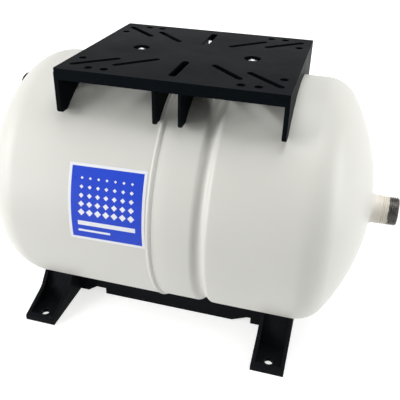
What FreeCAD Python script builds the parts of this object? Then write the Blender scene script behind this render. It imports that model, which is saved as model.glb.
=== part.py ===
import FreeCAD, Part
import math
import os
import Sketcher

# Horizontal diaphragm pressure tank with a moulded pump platform and a moulded base.
# +X runs along the tank towards the water connection, +Y to the back, +Z up.
# The origin is on the floor, in the middle of the four foot holes.
# All lengths are in millimetres and all angles in degrees.

os.makedirs("parts", exist_ok=True)
doc = FreeCAD.newDocument("well_pressure_tank")

# Driving dimensions, each with its own alias on the sheet
SIZES = [
    # steel shells
    ("tank_radius", 140.0),
    ("shell_step", 1.0),
    ("shell_wall", 1.6),
    ("ground_clearance", 44.5),
    ("seam_x", 16.2),
    ("air_side_length", 150.2),
    ("water_side_length", 148.8),
    ("knuckle_radius", 39.0),
    ("crown_radius", 220.0),
    ("lap_length", 10.0),
    ("lap_gap", 0.1),
    ("joggle_length", 2.5),
    # circumferential weld
    ("bead_width", 5.0),
    ("bead_radius", 3.0),
    ("weld_gap", 0.03),
    # rolled groove that holds the clench ring
    ("groove_offset", 51.8),
    ("groove_half_width", 10.0),
    ("groove_depth", 4.5),
    # clench ring, diaphragm and liner
    ("inner_gap", 0.2),
    ("ring_half_width", 11.0),
    ("ring_metal", 2.0),
    ("ring_rim_clearance", 1.2),
    ("diaphragm_wall", 2.5),
    ("diaphragm_rim", 3.0),
    ("diaphragm_inset", 11.2),
    ("liner_wall", 2.0),
    ("liner_rim_wall", 2.5),
    ("liner_rim_depth", 10.5),
    # water connection
    ("thread_radius", 16.6),
    ("neck_radius", 16.3),
    ("bore_radius", 12.5),
    ("collar_length", 9.5),
    ("thread_length", 19.5),
    ("thread_chamfer", 1.5),
    ("flange_radius", 26.0),
    ("flange_thickness", 3.0),
    ("neck_gap", 0.15),
    ("seal_section", 1.2),
    ("fillet_weld", 3.0),
    # air valve on the dished end
    ("valve_drop", 40.0),
    ("valve_shank_radius", 4.5),
    ("valve_stem_radius", 3.85),
    ("valve_stem_height", 6.6),
    ("valve_core_radius", 2.3),
    ("valve_core_length", 7.0),
    ("valve_pin_radius", 0.7),
    ("valve_flange_radius", 9.0),
    ("valve_flange_wall", 2.0),
    ("valve_gasket_wall", 1.5),
    ("valve_nut_flats", 11.0),
    ("valve_nut_height", 3.0),
    ("valve_clearance", 0.15),
    ("seal_cap_wall", 1.2),
    ("cap_ring_section", 0.6),
    ("cover_radius", 8.2),
    ("cover_wall", 1.3),
    ("cover_edge", 2.5),
    # label on the front
    ("label_left", -70.0),
    ("label_width", 83.0),
    ("label_film", 0.2),
    ("label_span", 34.0),
    ("label_tilt", 12.6),
    # pump platform
    ("platform_x", 24.0),
    ("platform_length", 232.0),
    ("platform_depth", 202.0),
    ("platform_rise", 16.0),
    ("platform_corner", 1.5),
    ("deck_wall", 4.0),
    ("lip_depth", 11.5),
    ("lip_wall", 3.5),
    ("end_wall", 4.5),
    ("middle_wall", 3.0),
    ("middle_wall_offset", 13.0),
    ("saddle_drop", 30.0),
    ("saddle_tip_radius", 4.0),
    ("platform_rib_wall", 2.5),
    ("platform_rib_offset", 26.0),
    ("seat_gap", 0.25),
    ("bead_relief", 1.6),
    ("well_offset", 62.0),
    ("well_radius", 9.0),
    ("well_depth", 9.0),
    ("well_wall", 4.0),
    ("slot_width", 7.0),
    ("inner_slot_edge_x1", 85.0),
    ("inner_slot_edge_y1", 62.5),
    ("inner_slot_edge_x2", 53.0),
    ("inner_slot_edge_y2", 30.5),
    ("outer_slot_edge_x1", 46.5),
    ("outer_slot_edge_y1", 51.0),
    ("outer_slot_edge_x2", 12.0),
    ("outer_slot_edge_y2", 19.5),
    ("centre_slot_width", 8.0),
    ("centre_slot_edge_y1", 63.0),
    ("centre_slot_edge_y2", 19.0),
    ("pump_hole_radius", 4.25),
    ("pump_hole_edge_y", 13.0),
    ("pump_hole_edge_x1", 48.0),
    ("pump_hole_edge_x2", 31.5),
    ("side_hole_edge_x", 12.0),
    ("side_hole_edge_y", 42.0),
    # base
    ("foot_spacing", 296.0),
    ("foot_width", 40.0),
    ("base_depth", 210.0),
    ("toe_height", 7.0),
    ("toe_slope_run", 43.0),
    ("toe_slope_rise", 14.5),
    ("ramp_top_depth", 36.0),
    ("ramp_top_rise", 0.6),
    ("ramp_fillet", 20.0),
    ("pad_height", 5.5),
    ("pad_length", 45.0),
    ("pad_fillet", 6.0),
    ("channel_depth", 2.5),
    ("foot_wall", 3.5),
    ("toe_land", 6.0),
    ("foot_rib_wall", 4.5),
    ("anchor_radius", 5.25),
    ("anchor_wall", 4.0),
    ("anchor_edge", 15.0),
    ("beam_half_depth", 28.0),
    ("beam_wall", 4.0),
    ("beam_clearance", 1.0),
    ("cradle_wall", 4.0),
    ("left_notch_outer", 115.5),
    ("left_notch_inner", 89.5),
    ("left_notch_ramp", 12.5),
    ("right_notch_outer", 113.5),
    ("right_notch_inner", 89.0),
    ("right_notch_ramp", 20.0),
    ("notch_height", 9.0),
    ("beam_rib_wall", 3.0),
    ("beam_rib_pitch", 36.0),
    ("base_stud_offset", 72.0),
    ("base_boss_depth", 12.0),
    ("boss_wall", 5.0),
    # fasteners
    ("deck_stud_radius", 3.0),
    ("deck_nut_flats", 10.0),
    ("deck_nut_height", 5.0),
    ("deck_washer_radius", 6.0),
    ("base_stud_radius", 4.0),
    ("base_nut_flats", 13.0),
    ("base_nut_height", 6.5),
    ("base_washer_radius", 8.0),
    ("washer_wall", 1.6),
    ("stud_end", 1.2),
    ("bolt_gap", 0.3),
    ("thread_gap", 0.05),
    ("weld_pad_wall", 1.5),
    ("weld_pad_rim", 3.5),
]


class Dim:
    """A size that keeps its number together with its expression on the sheet."""

    def __init__(self, value, text):
        self.value = value
        self.text = text

    def __add__(self, other):
        return joined(self, "+", other)

    def __radd__(self, other):
        return joined(other, "+", self)

    def __sub__(self, other):
        return joined(self, "-", other)

    def __rsub__(self, other):
        return joined(other, "-", self)

    def __mul__(self, other):
        return joined(self, "*", other)

    def __rmul__(self, other):
        return joined(other, "*", self)

    def __truediv__(self, other):
        return joined(self, "/", other)

    def __neg__(self):
        return joined(0, "-", self)


def as_dim(number):
    if isinstance(number, Dim):
        return number
    return Dim(float(number), repr(number))


def joined(first, sign, second):
    first = as_dim(first)
    second = as_dim(second)
    values = {
        "+": first.value + second.value,
        "-": first.value - second.value,
        "*": first.value * second.value,
    }
    if sign == "/":
        values["/"] = first.value / second.value
    return Dim(values[sign], "(" + first.text + " " + sign + " " + second.text + ")")


def root(dim):
    return Dim(math.sqrt(dim.value), "sqrt(" + dim.text + ")")


def leg(hypotenuse, other_leg):
    """The third side of a right triangle."""
    return root(hypotenuse * hypotenuse - other_leg * other_leg)


def make_sheet():
    sheet = doc.addObject("Spreadsheet::Sheet", "Sizes")
    dims = {}
    for row, (alias, value) in enumerate(SIZES, start=1):
        sheet.set("A" + str(row), alias)
        sheet.set("B" + str(row), repr(value))
        sheet.setAlias("B" + str(row), alias)
        dims[alias] = Dim(value, "Sizes." + alias)
    doc.recompute()
    return dims


size = make_sheet()
axis_height = size["tank_radius"] + size["ground_clearance"]
NODES = []


def bind(obj, path, dim):
    """Tie one property to its expression on the sheet."""
    obj.setExpression(path, as_dim(dim).text)


def new_body(name, x=0, z=axis_height):
    """A body whose own zero lies on the tank's axis unless z says otherwise."""
    body = doc.addObject("PartDesign::Body", name)
    body.Label = name
    bind(body, "Placement.Base.x", x)
    bind(body, "Placement.Base.z", z)
    return body


def new_sketch(body, role, name, level=0):
    """A sketch on one of the body's own origin planes, moved along its normal by level."""
    sketch = body.newObject("Sketcher::SketchObject", name)
    plane = [item for item in body.Origin.OriginFeatures if item.Role == role][0]
    sketch.AttachmentSupport = [(plane, "")]
    sketch.MapMode = "FlatFace"
    level = as_dim(level)
    sketch.AttachmentOffset = FreeCAD.Placement(FreeCAD.Vector(0, 0, level.value), FreeCAD.Rotation())
    bind(sketch, "AttachmentOffset.Base.z", level)
    return sketch


def fix_point(sketch, geo, pos, point):
    """Place one sketch point by its two coordinates."""
    for kind, axis, coordinate in (("DistanceX", -2, point[0]), ("DistanceY", -1, point[1])):
        if not isinstance(coordinate, Dim):
            if coordinate != 0:
                raise ValueError("a bare number places a point only on an axis")
            sketch.addConstraint(Sketcher.Constraint("PointOnObject", geo, pos, axis))
            continue
        index = sketch.addConstraint(Sketcher.Constraint(kind, -1, 1, geo, pos, coordinate.value))
        sketch.setExpression("Constraints[" + str(index) + "]", coordinate.text)


def fix_radius(sketch, geo, radius):
    index = sketch.addConstraint(Sketcher.Constraint("Radius", geo, radius.value))
    sketch.setExpression("Constraints[" + str(index) + "]", radius.text)


def vector(point):
    return FreeCAD.Vector(as_dim(point[0]).value, as_dim(point[1]).value, 0)


def arc(radius, turn):
    """An arc between two corners of an outline: turn is 1 counter-clockwise, -1 clockwise."""
    return ("arc", radius, turn)


def arc_geometry(start, end, radius, turn):
    chord = end - start
    half = chord.Length / 2
    normal = FreeCAD.Vector(-chord.y, chord.x, 0).normalize()
    centre = start + chord * 0.5 + normal * turn * math.sqrt(radius * radius - half * half)
    first, last = (start, end) if turn > 0 else (end, start)
    angles = [math.atan2(p.y - centre.y, p.x - centre.x) for p in (first, last)]
    return Part.ArcOfCircle(Part.Circle(centre, FreeCAD.Vector(0, 0, 1), radius), *angles)


def outline(sketch, items):
    """A closed outline of corners, with an arc between two corners where one is named."""
    corners = []
    bends = {}
    for item in items:
        if item[0] == "arc":
            bends[len(corners) - 1] = item
        else:
            corners.append(item)
    ends = []
    for number, corner in enumerate(corners):
        following = corners[(number + 1) % len(corners)]
        if number in bends:
            radius, turn = bends[number][1:]
            geo = sketch.addGeometry(arc_geometry(vector(corner), vector(following), radius.value, turn))
            ends.append((geo, 1, 2) if turn > 0 else (geo, 2, 1))
            fix_radius(sketch, geo, radius)
        else:
            geo = sketch.addGeometry(Part.LineSegment(vector(corner), vector(following)))
            ends.append((geo, 1, 2))
    for number, corner in enumerate(corners):
        geo, first, _ = ends[number]
        before, _, last = ends[number - 1]
        sketch.addConstraint(Sketcher.Constraint("Coincident", before, last, geo, first))
        fix_point(sketch, geo, first, corner)


def circle(sketch, x, y, radius):
    geo = sketch.addGeometry(Part.Circle(vector((x, y)), FreeCAD.Vector(0, 0, 1), radius.value))
    fix_point(sketch, geo, 3, (x, y))
    fix_radius(sketch, geo, radius)


def slot(sketch, start, end, width):
    """A slot with round ends, given by the centres of its two end arcs."""
    first = vector(start)
    second = vector(end)
    radius = width / 2
    along = (second - first).normalize()
    across = FreeCAD.Vector(-along.y, along.x, 0) * radius.value
    angle = math.atan2(along.y, along.x)
    up = FreeCAD.Vector(0, 0, 1)
    turn = math.pi / 2
    start_arc = Part.ArcOfCircle(Part.Circle(first, up, radius.value), angle + turn, angle + 3 * turn)
    end_arc = Part.ArcOfCircle(Part.Circle(second, up, radius.value), angle - turn, angle + turn)
    one = sketch.addGeometry(start_arc)
    low = sketch.addGeometry(Part.LineSegment(first - across, second - across))
    two = sketch.addGeometry(end_arc)
    high = sketch.addGeometry(Part.LineSegment(second + across, first + across))
    for before, after in ((one, low), (low, two), (two, high), (high, one)):
        sketch.addConstraint(Sketcher.Constraint("Tangent", before, 2, after, 1))
    sketch.addConstraint(Sketcher.Constraint("Equal", one, two))
    fix_radius(sketch, one, radius)
    fix_point(sketch, one, 3, start)
    fix_point(sketch, two, 3, end)


def rectangle(sketch, x1, y1, x2, y2):
    outline(sketch, [(x1, y1), (x2, y1), (x2, y2), (x1, y2)])


def extrude(body, kind, sketch, name, length, middle=False, reverse=False):
    """A pad or a pocket of a given length."""
    feature = body.newObject("PartDesign::" + kind, name)
    feature.Profile = sketch
    bind(feature, "Length", length)
    feature.Midplane = middle
    feature.Reversed = reverse
    sketch.Visibility = False
    doc.recompute()
    return feature


def turned(body, kind, sketch, name, axis="H_Axis", angle=None):
    """A revolution or a groove about one of the sketch's axes."""
    feature = body.newObject("PartDesign::" + kind, name)
    feature.Profile = sketch
    feature.ReferenceAxis = (sketch, [axis])
    feature.Angle = 360
    if angle is not None:
        bind(feature, "Angle", angle)
        feature.Midplane = True
    sketch.Visibility = False
    doc.recompute()
    return feature


def turned_part(name, items, axis="H_Axis"):
    """A body turned from one outline."""
    body = new_body(name)
    sketch = new_sketch(body, "XZ_Plane", name + "_section")
    outline(sketch, items)
    turned(body, "Revolution", sketch, name + "_turned", axis)
    return body


def primitive(kind, name, values, x=0, y=0, z=0):
    """A Part primitive with bound sizes and a bound place."""
    item = doc.addObject("Part::" + kind, name)
    for key, value in values.items():
        bind(item, key, value)
    bind(item, "Placement.Base.x", x)
    bind(item, "Placement.Base.y", y)
    bind(item, "Placement.Base.z", z)
    return item


def boolean(kind, name, base, tool):
    item = doc.addObject("Part::" + kind, name)
    item.Base = base
    item.Tool = tool
    return item


def group(name, members):
    """Several like pieces that share one node."""
    item = doc.addObject("Part::Compound", name)
    item.Label = name
    item.Links = members
    return item


def node(item):
    NODES.append(item)
    return item


# Values that several pieces share
air_radius = size["tank_radius"]
water_radius = size["tank_radius"] - size["shell_step"]
shell_wall = size["shell_wall"]
seam = size["seam_x"]
air_end = seam - size["air_side_length"]
water_end = seam + size["water_side_length"]
groove_x = seam + size["groove_offset"]
inner_gap = size["inner_gap"]


class Head:
    """One dished end: a knuckle arc and a crown arc, at any inset from the outer surface."""

    def __init__(self, end_x, side, radius):
        self.end_x = end_x
        self.side = side
        self.radius = radius
        self.reach = size["crown_radius"] - size["knuckle_radius"]
        self.rise = radius - size["knuckle_radius"]
        self.centre_x = end_x - side * leg(self.reach, self.rise)

    def tangent(self, inset):
        crown = size["crown_radius"] - inset
        return (self.centre_x + self.side * crown * leg(self.reach, self.rise) / self.reach,
                crown * self.rise / self.reach)

    def crown_x(self, inset, radius):
        """Where the crown lies at a given distance from the tank's axis."""
        return self.centre_x + self.side * leg(size["crown_radius"] - inset, radius)

    def outward(self, inset, stop):
        """Corners from the straight shell to the crown's edge, which stop gives as a radius."""
        turn = -self.side
        return [(self.end_x, self.radius - inset),
                arc(size["knuckle_radius"] - inset, turn),
                self.tangent(inset),
                arc(size["crown_radius"] - inset, turn),
                self.crown_end(inset, stop)]

    def inward(self, inset, stop):
        """The same corners from the crown's edge back to the straight shell."""
        turn = self.side
        return [self.crown_end(inset, stop),
                arc(size["crown_radius"] - inset, turn),
                self.tangent(inset),
                arc(size["knuckle_radius"] - inset, turn),
                (self.end_x, self.radius - inset)]

    def crown_end(self, inset, stop):
        if stop is None:
            return (self.centre_x + self.side * (size["crown_radius"] - inset), 0)
        return (self.crown_x(inset, stop), stop)


air_head = Head(air_end, -1, air_radius)
water_head = Head(water_end, 1, water_radius)

# Place and tilt of the air valve: it stands square on the crown of the air side
valve_offset = air_radius - size["valve_drop"]
valve_lean = valve_offset / size["crown_radius"]
valve_x = air_head.crown_x(0, valve_offset)
valve_z = axis_height + valve_offset
valve_angle = Dim(math.degrees(math.asin(valve_lean.value)) - 90, "(asin(" + valve_lean.text + ") - 90 deg)")


def stand_on_head(item):
    """Put a piece made about its own Z axis on the air side, square to the surface."""
    bind(item, "Placement.Base.x", valve_x)
    bind(item, "Placement.Base.z", valve_z)
    item.Placement.Rotation = FreeCAD.Rotation(FreeCAD.Vector(0, 1, 0), valve_angle.value)
    bind(item, "Placement.Rotation.Angle", valve_angle)
    return item


# Air side shell: a deep-drawn steel cup whose open end laps over the other shell
def make_air_side_shell():
    items = [(seam, air_radius - shell_wall), (seam, air_radius)]
    items += air_head.outward(0, None)
    items += air_head.inward(shell_wall, None)
    cup = turned_part("air_side_cup", items)
    hole_radius = size["valve_shank_radius"] + size["valve_clearance"]
    depth = 6 * shell_wall
    hole = primitive("Cylinder", "valve_hole", {"Radius": hole_radius, "Height": depth})
    stand_on_head(hole)
    slide = depth / 2
    bind(hole, "Placement.Base.x", valve_x + slide * leg(as_dim(1), valve_lean))
    bind(hole, "Placement.Base.z", valve_z - slide * valve_lean)
    shell = boolean("Cut", "air_side_shell", cup, hole)
    shell.Label = "air_side_shell"
    return shell


# Rolled groove: two shoulder arcs and a valley arc that meet without a corner
def groove_items(inset):
    half = size["groove_half_width"]
    depth = size["groove_depth"]
    bend = (half * half + depth * depth) / (4 * depth)
    shoulder = bend - inset
    valley = bend + inset
    share = shoulder / (2 * bend)
    side_x = half - half * share
    side_r = water_radius - bend + (2 * bend - depth) * share
    shoulder_r = water_radius - inset
    return [(groove_x - half, shoulder_r), arc(shoulder, -1),
            (groove_x - side_x, side_r), arc(valley, 1),
            (groove_x + side_x, side_r), arc(shoulder, -1),
            (groove_x + half, shoulder_r)]


def reversed_items(items):
    """The same outline walked the other way round."""
    result = []
    for item in reversed(items):
        if item[0] == "arc":
            item = arc(item[1], -item[2])
        result.append(item)
    return result


# Water side shell: its open end is joggled down to slide into the air side shell
def make_water_side_shell():
    spigot = air_radius - shell_wall - size["lap_gap"]
    hole = size["neck_radius"] + size["neck_gap"]
    items = [(seam - size["lap_length"], spigot - shell_wall),
             (seam - size["lap_length"], spigot),
             (seam, spigot),
             (seam + size["joggle_length"], water_radius)]
    items += groove_items(0)
    items += water_head.outward(0, hole)
    items += water_head.inward(shell_wall, hole)
    items += reversed_items(groove_items(shell_wall))
    items += [(seam + size["joggle_length"] + shell_wall / 2, water_radius - shell_wall),
              (seam + shell_wall / 2, spigot - shell_wall)]
    return turned_part("water_side_shell", items)


# Weld bead round the lap of the two shells
def make_seam_weld():
    gap = size["weld_gap"]
    left = seam - size["bead_width"] * 0.4
    right = seam + size["bead_width"] * 0.6
    return turned_part("seam_weld", [
        (left, air_radius + gap),
        (seam + gap, air_radius + gap),
        (seam + gap, water_radius + gap),
        (right, water_radius + gap),
        arc(size["bead_radius"], 1)])


# Clench ring: a rolled steel channel that the groove bites into
def make_clench_ring():
    half = size["ring_half_width"]
    metal = size["ring_metal"]
    floor_out = water_radius - size["groove_depth"] - shell_wall - inner_gap
    rim = water_radius - shell_wall - size["ring_rim_clearance"]
    return turned_part("clench_ring", [
        (groove_x - half, floor_out - metal),
        (groove_x + half, floor_out - metal),
        (groove_x + half, rim),
        (groove_x + half - metal, rim),
        (groove_x + half - metal, floor_out),
        (groove_x - half + metal, floor_out),
        (groove_x - half + metal, rim),
        (groove_x - half, rim)])


diaphragm_x = groove_x + size["ring_half_width"] + inner_gap
liner_x = diaphragm_x + size["diaphragm_rim"] + inner_gap
liner_outset = shell_wall + inner_gap
liner_inset = liner_outset + size["liner_wall"]


# Diaphragm: a moulded rubber cup, pressed towards the water side by the air charge
def make_diaphragm():
    outer = size["diaphragm_inset"]
    inner = outer + size["diaphragm_wall"]
    rim = water_radius - liner_outset
    items = [(diaphragm_x, water_radius - inner),
             (diaphragm_x, rim),
             (diaphragm_x + size["diaphragm_rim"], rim),
             (diaphragm_x + size["diaphragm_rim"], water_radius - outer)]
    items += water_head.outward(outer, None)
    items += water_head.inward(inner, None)
    return turned_part("diaphragm", items)


seal_radius = size["neck_radius"] + 2 * inner_gap + size["seal_section"]
liner_hole = seal_radius + size["seal_section"] + inner_gap


# Liner: a moulded plastic bowl that keeps the water off the steel
def make_water_liner():
    rim_wall = size["liner_rim_wall"]
    rim_radius = water_radius - size["liner_rim_depth"]
    items = [(liner_x, rim_radius),
             (liner_x, water_radius - liner_outset)]
    items += water_head.outward(liner_outset, liner_hole)
    items += water_head.inward(liner_inset, liner_hole)
    items += [(liner_x + rim_wall, water_radius - liner_inset),
              (liner_x + rim_wall, rim_radius)]
    return turned_part("water_liner", items)


pole_x = water_head.crown_end(0, None)[0]
thread_x = pole_x + size["collar_length"]
nipple_end = thread_x + size["thread_length"]
flange_seat = liner_inset + inner_gap


# Water connection: a turned stainless nipple with a flange inside the tank
def make_water_connection():
    rim_x = water_head.crown_x(flange_seat, size["flange_radius"])
    face_x = rim_x - size["flange_thickness"]
    neck = size["neck_radius"]
    chamfer = size["thread_chamfer"]
    return turned_part("water_connection", [
        (face_x, size["bore_radius"]),
        (nipple_end, size["bore_radius"]),
        (nipple_end, size["thread_radius"] - chamfer),
        (nipple_end - chamfer, size["thread_radius"]),
        (thread_x, size["thread_radius"]),
        (thread_x, neck),
        (water_head.crown_x(flange_seat, neck), neck),
        arc(size["crown_radius"] - flange_seat, 1),
        (rim_x, size["flange_radius"]),
        (face_x, size["flange_radius"])])


# Seal ring squeezed between the nipple's flange and the steel, inside the liner's hole
def make_connection_seal():
    body = new_body("connection_seal")
    sketch = new_sketch(body, "XZ_Plane", "connection_seal_section")
    seal_x = water_head.crown_x((shell_wall + flange_seat) / 2, seal_radius)
    circle(sketch, seal_x, seal_radius, size["seal_section"])
    turned(body, "Revolution", sketch, "connection_seal_turned")
    return body


# Fillet weld that holds the nipple in the dished end
def make_connection_weld():
    gap = size["weld_gap"]
    inner = size["neck_radius"] + gap
    outer = inner + size["fillet_weld"]
    foot = water_head.crown_x(0, inner) + gap
    return turned_part("connection_weld", [
        (foot, inner),
        (foot + size["fillet_weld"], inner),
        (water_head.crown_x(0, outer) + gap, outer)])


# Air valve, made about its own axis with zero on the outer surface of the shell
def make_valve_part(name, items):
    body = doc.addObject("PartDesign::Body", name)
    body.Label = name
    sketch = new_sketch(body, "XZ_Plane", name + "_section")
    outline(sketch, items)
    turned(body, "Revolution", sketch, name + "_turned", "V_Axis")
    return stand_on_head(body)


clear = size["valve_clearance"]
gasket_top = -(shell_wall + 2 * clear)
gasket_low = gasket_top - size["valve_gasket_wall"]
valve_low = gasket_low - size["valve_flange_wall"]
core_low = size["valve_stem_height"] - size["valve_core_length"] - size["valve_clearance"]
valve_nut_low = clear
valve_nut_top = valve_nut_low + size["valve_nut_height"]


def make_air_valve_body():
    shank = size["valve_shank_radius"]
    bore = size["valve_core_radius"] + size["thread_gap"]
    passage = size["valve_core_radius"] * 0.6
    return make_valve_part("air_valve_body", [
        (passage, valve_low),
        (size["valve_flange_radius"], valve_low),
        (size["valve_flange_radius"], gasket_low),
        (shank, gasket_low),
        (shank, valve_nut_top),
        (size["valve_stem_radius"], valve_nut_top + clear),
        (size["valve_stem_radius"], size["valve_stem_height"]),
        (bore, size["valve_stem_height"]),
        (bore, core_low),
        (passage, core_low)])


def make_air_valve_core():
    radius = size["valve_core_radius"]
    pin = size["valve_pin_radius"]
    top = core_low + size["valve_core_length"]
    head = top - size["valve_core_length"] / 4
    return make_valve_part("air_valve_core", [
        (0, core_low),
        (radius, core_low),
        (radius, head),
        (pin, head),
        (pin, top),
        (0, top)])


def make_valve_gasket():
    return make_valve_part("valve_gasket", [
        (size["valve_shank_radius"] + clear, gasket_low),
        (size["valve_flange_radius"], gasket_low),
        (size["valve_flange_radius"], gasket_top),
        (size["valve_shank_radius"] + clear, gasket_top)])


def make_hex_nut(name, flats, height, bore):
    """A hexagon nut about its own Z axis, with its corners turned off on the upper side."""
    prism = primitive("Prism", name + "_hexagon", {"Circumradius": flats / math.sqrt(3), "Height": height})
    prism.Polygon = 6
    crown = primitive("Cone", name + "_crown", {
        "Radius1": flats * 0.475 + height * math.sqrt(3), "Radius2": flats * 0.475, "Height": height})
    blank = boolean("Common", name + "_blank", prism, crown)
    hole = primitive("Cylinder", name + "_bore", {"Radius": bore, "Height": height})
    return boolean("Cut", name, blank, hole)


def make_valve_nut():
    bore = size["valve_shank_radius"] + size["thread_gap"]
    nut = make_hex_nut("valve_nut", size["valve_nut_flats"], size["valve_nut_height"], bore)
    nut.Label = "valve_nut"
    stand_on_head(nut)
    bind(nut, "Placement.Base.x", valve_x - clear * leg(as_dim(1), valve_lean))
    bind(nut, "Placement.Base.z", valve_z + clear * valve_lean)
    return nut


ring_low = size["valve_stem_height"] + clear
roof_low = ring_low + 2 * size["cap_ring_section"]
roof_top = roof_low + size["seal_cap_wall"]


def make_valve_seal_cap():
    inner = size["valve_stem_radius"] + size["thread_gap"]
    outer = inner + size["seal_cap_wall"]
    return make_valve_part("valve_seal_cap", [
        (inner, valve_nut_top + 2 * clear),
        (outer, valve_nut_top + 2 * clear),
        (outer, roof_top),
        (0, roof_top),
        (0, roof_low),
        (inner, roof_low)])


def make_valve_cap_ring():
    section = size["cap_ring_section"]
    body = doc.addObject("PartDesign::Body", "valve_cap_ring")
    body.Label = "valve_cap_ring"
    sketch = new_sketch(body, "XZ_Plane", "valve_cap_ring_section")
    circle(sketch, size["valve_stem_radius"] - section, ring_low + section, section)
    turned(body, "Revolution", sketch, "valve_cap_ring_turned", "V_Axis")
    return stand_on_head(body)


def make_valve_cover():
    outer = size["cover_radius"]
    inner = outer - size["cover_wall"]
    grip = size["valve_nut_flats"] / math.sqrt(3) + size["thread_gap"]
    under = roof_top + clear
    top = under + size["cover_wall"]
    edge = size["cover_edge"]
    return make_valve_part("valve_cover", [
        (grip, clear),
        (outer, clear),
        (outer, top - edge), arc(edge, 1),
        (outer - edge, top),
        (0, top),
        (0, under),
        (inner, under),
        (inner, valve_nut_top),
        (grip, valve_nut_top)])


# Label: a thin film wrapped on the front of the air side
def make_front_label():
    body = new_body("front_label")
    sketch = new_sketch(body, "XZ_Plane", "front_label_section")
    low = air_radius + size["thread_gap"]
    left = size["label_left"]
    rectangle(sketch, left, low, left + size["label_width"], low + size["label_film"])
    turned(body, "Revolution", sketch, "front_label_turned", angle=size["label_span"])
    tilt = 90 - size["label_tilt"]
    body.Placement.Rotation = FreeCAD.Rotation(FreeCAD.Vector(1, 0, 0), tilt.value)
    body.setExpression("Placement.Rotation.Angle", tilt.text + " * 1 deg")
    return body


def cut_tank_shape(body, shift):
    """Cut the tank's own shape out of a moulding, so that the moulding seats on both shells."""
    sketch = new_sketch(body, "XZ_Plane", body.Label + "_seat_section")
    reach = 2 * size["tank_radius"]
    gap = size["seat_gap"]
    relief = air_radius + size["bead_relief"]
    bead_left = seam - shift - size["bead_width"] * 0.4 - gap
    bead_right = seam - shift + size["bead_width"] * 0.6 + gap
    outline(sketch, [
        (-reach, 0),
        (reach, 0),
        (reach, water_radius + gap),
        (bead_right, water_radius + gap),
        (bead_right, relief),
        (bead_left, relief),
        (bead_left, air_radius + gap),
        (-reach, air_radius + gap)])
    turned(body, "Groove", sketch, body.Label + "_seat")


def mirrored_four_ways(body, feature, name):
    """Repeat a feature in all four quarters of a moulding."""
    planes = {item.Role: item for item in body.Origin.OriginFeatures}
    pattern = body.newObject("PartDesign::MultiTransform", name)
    pattern.Originals = [feature]
    steps = []
    for role in ("YZ_Plane", "XZ_Plane"):
        step = body.newObject("PartDesign::Mirrored", name + "_" + role)
        step.MirrorPlane = (planes[role], [""])
        steps.append(step)
    pattern.Transformations = steps
    body.Tip = pattern
    doc.recompute()
    return pattern


half_length = size["platform_length"] / 2
half_depth = size["platform_depth"] / 2
deck_top = air_radius + size["platform_rise"]
deck_under = deck_top - size["deck_wall"]
well_floor = deck_top - size["well_depth"]
saddle_tip = air_radius - size["saddle_drop"]
deck_pad_radius = size["deck_stud_radius"] + size["weld_pad_rim"]
pad_room = size["shell_step"] + size["weld_pad_wall"] + 2 * size["bolt_gap"]


def rounded_rectangle(sketch, half_x, half_y, radius):
    x = half_x - radius
    y = half_y - radius
    outline(sketch, [
        (-x, -half_y), (x, -half_y), arc(radius, 1),
        (half_x, -y), (half_x, y), arc(radius, 1),
        (x, half_y), (-x, half_y), arc(radius, 1),
        (-half_x, y), (-half_x, -y), arc(radius, 1)])


def add_saddle_wall(body, name, x, wall):
    """A cross wall of the platform, with rounded tips, that stands on the tank."""
    sketch = new_sketch(body, "YZ_Plane", name + "_outline", x)
    tip = saddle_tip
    radius = size["saddle_tip_radius"]
    outline(sketch, [
        (-half_depth, deck_under), (-half_depth, tip + radius), arc(radius, 1),
        (radius - half_depth, tip), (half_depth - radius, tip), arc(radius, 1),
        (half_depth, tip + radius), (half_depth, deck_under)])
    extrude(body, "Pad", sketch, name, wall, middle=True)


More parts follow.
